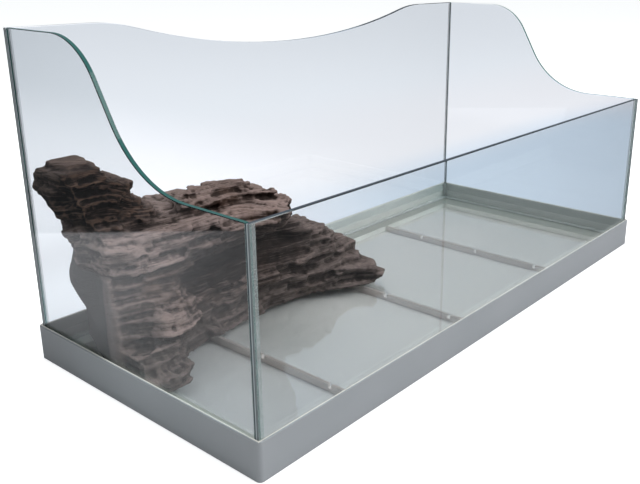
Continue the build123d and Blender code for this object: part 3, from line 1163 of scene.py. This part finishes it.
class TANK_OT_rock(bpy.types.Operator):
    """Carve the basking rock from its courses"""

    bl_idname = "tank.rock"
    bl_label = "Basking rock"

    def execute(self, context):
        settings = settings_of("tank_rock")
        stone = joined_courses("basking_rock")
        use_modifier(stone, "REMESH", mode="VOXEL", voxel_size=COARSE_GRAIN)
        use_modifier(stone, "SMOOTH", factor=0.5, iterations=SOFTENING)
        use_modifier(stone, "REMESH", mode="VOXEL", voxel_size=settings.grain)
        carve(stone, settings)
        use_modifier(stone, "REMESH", mode="VOXEL", voxel_size=settings.grain)
        triangles = 2 * len(stone.data.polygons)
        if triangles > MOST_TRIANGLES:
            use_modifier(stone, "DECIMATE", ratio=MOST_TRIANGLES / triangles)
        roughen(stone)
        keep_in_tank(stone)
        note_places(stone, settings)
        stone.data.materials.append(rock_material())
        bpy.ops.object.shade_smooth()
        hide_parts(*ROCK_COURSES)
        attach(stone, "rock")
        return {"FINISHED"}


# The stage

def add_camera():
    azimuth = math.radians(CAMERA_AZIMUTH)
    elevation = math.radians(CAMERA_ELEVATION)
    roll = math.radians(CAMERA_ROLL)
    back = Vector((
        math.sin(azimuth) * math.cos(elevation),
        -math.cos(azimuth) * math.cos(elevation),
        math.sin(elevation),
    ))
    level = (-back).cross(Vector((0, 0, 1))).normalized()
    upright = level.cross(-back)
    right = level * math.cos(roll) + upright * math.sin(roll)
    up = upright * math.cos(roll) - level * math.sin(roll)
    turn = Matrix((right, up, back)).transposed()
    data = bpy.data.cameras.new("camera")
    camera = bpy.data.objects.new("camera", data)
    bpy.context.scene.collection.objects.link(camera)
    camera.matrix_world = Matrix.Translation(CAMERA_PLACE) @ turn.to_4x4()
    data.sensor_width = SENSOR_WIDTH
    data.lens = SENSOR_WIDTH * CAMERA_FOCUS / IMAGE_WIDTH
    data.shift_x = (IMAGE_WIDTH / 2 - IMAGE_CENTRE[0]) / IMAGE_WIDTH
    data.shift_y = (IMAGE_CENTRE[1] - IMAGE_HEIGHT / 2) / IMAGE_WIDTH
    data.clip_start, data.clip_end = CAMERA_CLIP
    bpy.context.scene.camera = camera


class Rays:
    """Which rays are seen straight, have passed the glass, were mirrored, or came off a matt surface."""

    def __init__(self, make):
        outputs = make.node("ShaderNodeLightPath", {}).socket.node.outputs
        self.seen = Value(make, outputs["Is Camera Ray"])
        self.mirrored = Value(make, outputs["Glossy Depth"]).over(0.5)
        self.matt = Value(make, outputs["Diffuse Depth"]).over(0.5)
        self.passed = Value(make, outputs["Is Transmission Ray"]) * (1 - self.mirrored) * (1 - self.matt)


def table_behind_glass(make, place, across, along):
    """The table's painted glow where it is seen through the panes beyond the tank, darker and bluer near the
    right end as a painted shadow.
    """
    away = make.node("ShaderNodeVectorMath", {"operation": "DISTANCE"}, place, RIGHT_END, out="Value")
    near = make.mix(away.smooth(*RIGHT_TONE), NEAR_RIGHT, NEAR_MIDDLE)
    near = make.mix(across.smooth(*LEFT_TONE), near, NEAR_LEFT)
    far = make.mix(along.smooth(*FARTHEST_TONE), FAR_OFF, FARTHEST)
    far_left = across.smooth(*FAR_LEFT_ACROSS) * along.smooth(*FAR_LEFT_ALONG)
    far = make.mix(far_left, far, FAR_LEFT)
    return make.mix(along.smooth(*NEAR_TO_FAR), near, far)


def mirrored_table(make, across, along):
    """The table's tone in the panes' mirror images."""
    slanted = along + MIRRORED_SLOPE * across
    table = make.mix(slanted.smooth(*MIRRORED_TONE), MIRRORED_NEAR, MIRRORED_FAR)
    slanted = along + MIRRORED_LEFT_SLOPE * across
    left = across.smooth(*MIRRORED_LEFT_ACROSS) * slanted.smooth(*MIRRORED_LEFT_LINE)
    return make.mix(left, MIRRORED_LEFT, table)


def table_material():
    """A pale table that is white to the eye and pale through the glass, and keeps the tank's shadow, with
    painted shade under the tank and a painted shadow beside it seen through the glass.
    """
    material, make = new_material("pale_table")
    rays = Rays(make)
    place = make.place()
    across, along = make.axes(place)[:2]
    under = across.size().under(TANK_REACH[0]) * along.size().under(TANK_REACH[1])
    beyond = rays.passed * (1 - under)
    # Painted shade on the table under the tank
    slanted = across + UNDER_SLOPE * along
    below = make.mix(slanted.smooth(*UNDER_TONE), UNDER_LEFT, UNDER_RIGHT)
    lit = make.mix(rays.mirrored, LIT, mirrored_table(make, across, along))
    lit = make.mix(under, lit, below)
    lit = make.mix(beyond, lit, LIT_BEYOND)
    # Painted glow with a painted shadow where the table is seen through the glass
    glow = make.mix(beyond, (0, 0, 0), table_behind_glass(make, place, across, along))
    glow = make.mix(rays.seen, glow, SEEN_STRAIGHT)
    surface = make.node(
        "ShaderNodeBsdfPrincipled", {}, Base_Color=lit, Roughness=0.7,
        Emission_Color=glow, Emission_Strength=1.0,
    )
    make.node("ShaderNodeOutputMaterial", {}, Surface=surface)
    return material


def add_floor():
    bpy.ops.object.select_all(action="DESELECT")
    bpy.ops.mesh.primitive_plane_add(size=1)
    floor = bpy.context.object
    floor.name = "table_top"
    floor.scale = (TABLE_SIZE, TABLE_SIZE, 1)
    floor.location = (0, 0, -TABLE_DROP)
    bpy.ops.object.transform_apply(location=True, rotation=True, scale=True)
    floor.data.materials.append(table_material())


def add_light():
    light = settings_of("tank_stage").light
    world = bpy.context.scene.world or bpy.data.worlds.new("studio")
    bpy.context.scene.world = world
    world.use_nodes = True
    make = Maker(world.node_tree)
    rays = Rays(make)
    colour = make.mix(rays.mirrored, SKY_SEEN, SKY_MIRRORED)
    colour = make.mix(rays.matt, colour, SKY_ON_MATT)
    background = make.node("ShaderNodeBackground", {}, Color=colour, Strength=light)
    make.node("ShaderNodeOutputWorld", {}, Surface=background)
    for name, (place, size, power) in LAMPS.items():
        data = bpy.data.lights.new(name, "AREA")
        data.size = size
        data.energy = power * light
        lamp = bpy.data.objects.new(name, data)
        bpy.context.scene.collection.objects.link(lamp)
        lamp.location = place
        lamp.rotation_mode = "QUATERNION"
        lamp.rotation_quaternion = (-Vector(place)).to_track_quat("-Z", "Y")
        lamp.visible_camera = False


class TANK_OT_stage(bpy.types.Operator):
    """Add the camera, the pale table and the soft light"""

    bl_idname = "tank.stage"
    bl_label = "Stage"

    def execute(self, context):
        context.scene.view_settings.view_transform = "Standard"
        add_camera()
        add_floor()
        add_light()
        return {"FINISHED"}


GROUPS = {
    "tank_glass": GlassSettings,
    "tank_frame": FrameSettings,
    "tank_silicone": SiliconeSettings,
    "tank_rock": RockSettings,
    "tank_stage": StageSettings,
}
STEPS = (TANK_OT_stage, TANK_OT_glass, TANK_OT_frame, TANK_OT_silicone, TANK_OT_rock)


class TANK_PT_panel(bpy.types.Panel):
    """The tank's settings and steps"""

    bl_idname = "TANK_PT_panel"
    bl_label = "Turtle tank"
    bl_space_type = "VIEW_3D"
    bl_region_type = "UI"
    bl_category = "Turtle tank"

    def draw(self, context):
        for name in GROUPS:
            settings = getattr(context.scene, name)
            box = self.layout.box()
            for key in settings.__annotations__:
                box.prop(settings, key)
        for step in STEPS:
            self.layout.operator(step.bl_idname)


def register():
    for name, group in GROUPS.items():
        bpy.utils.register_class(group)
        setattr(bpy.types.Scene, name, bpy.props.PointerProperty(type=group))
    for step in STEPS:
        bpy.utils.register_class(step)
    bpy.utils.register_class(TANK_PT_panel)


def unregister():
    bpy.utils.unregister_class(TANK_PT_panel)
    for step in reversed(STEPS):
        bpy.utils.unregister_class(step)
    for name, group in GROUPS.items():
        delattr(bpy.types.Scene, name)
        bpy.utils.unregister_class(group)


def main():
    register()
    bpy.ops.tank.stage()
    bpy.ops.tank.glass()
    bpy.ops.tank.frame()
    bpy.ops.tank.silicone()
    bpy.ops.tank.rock()


if __name__ == "__main__":
    main()
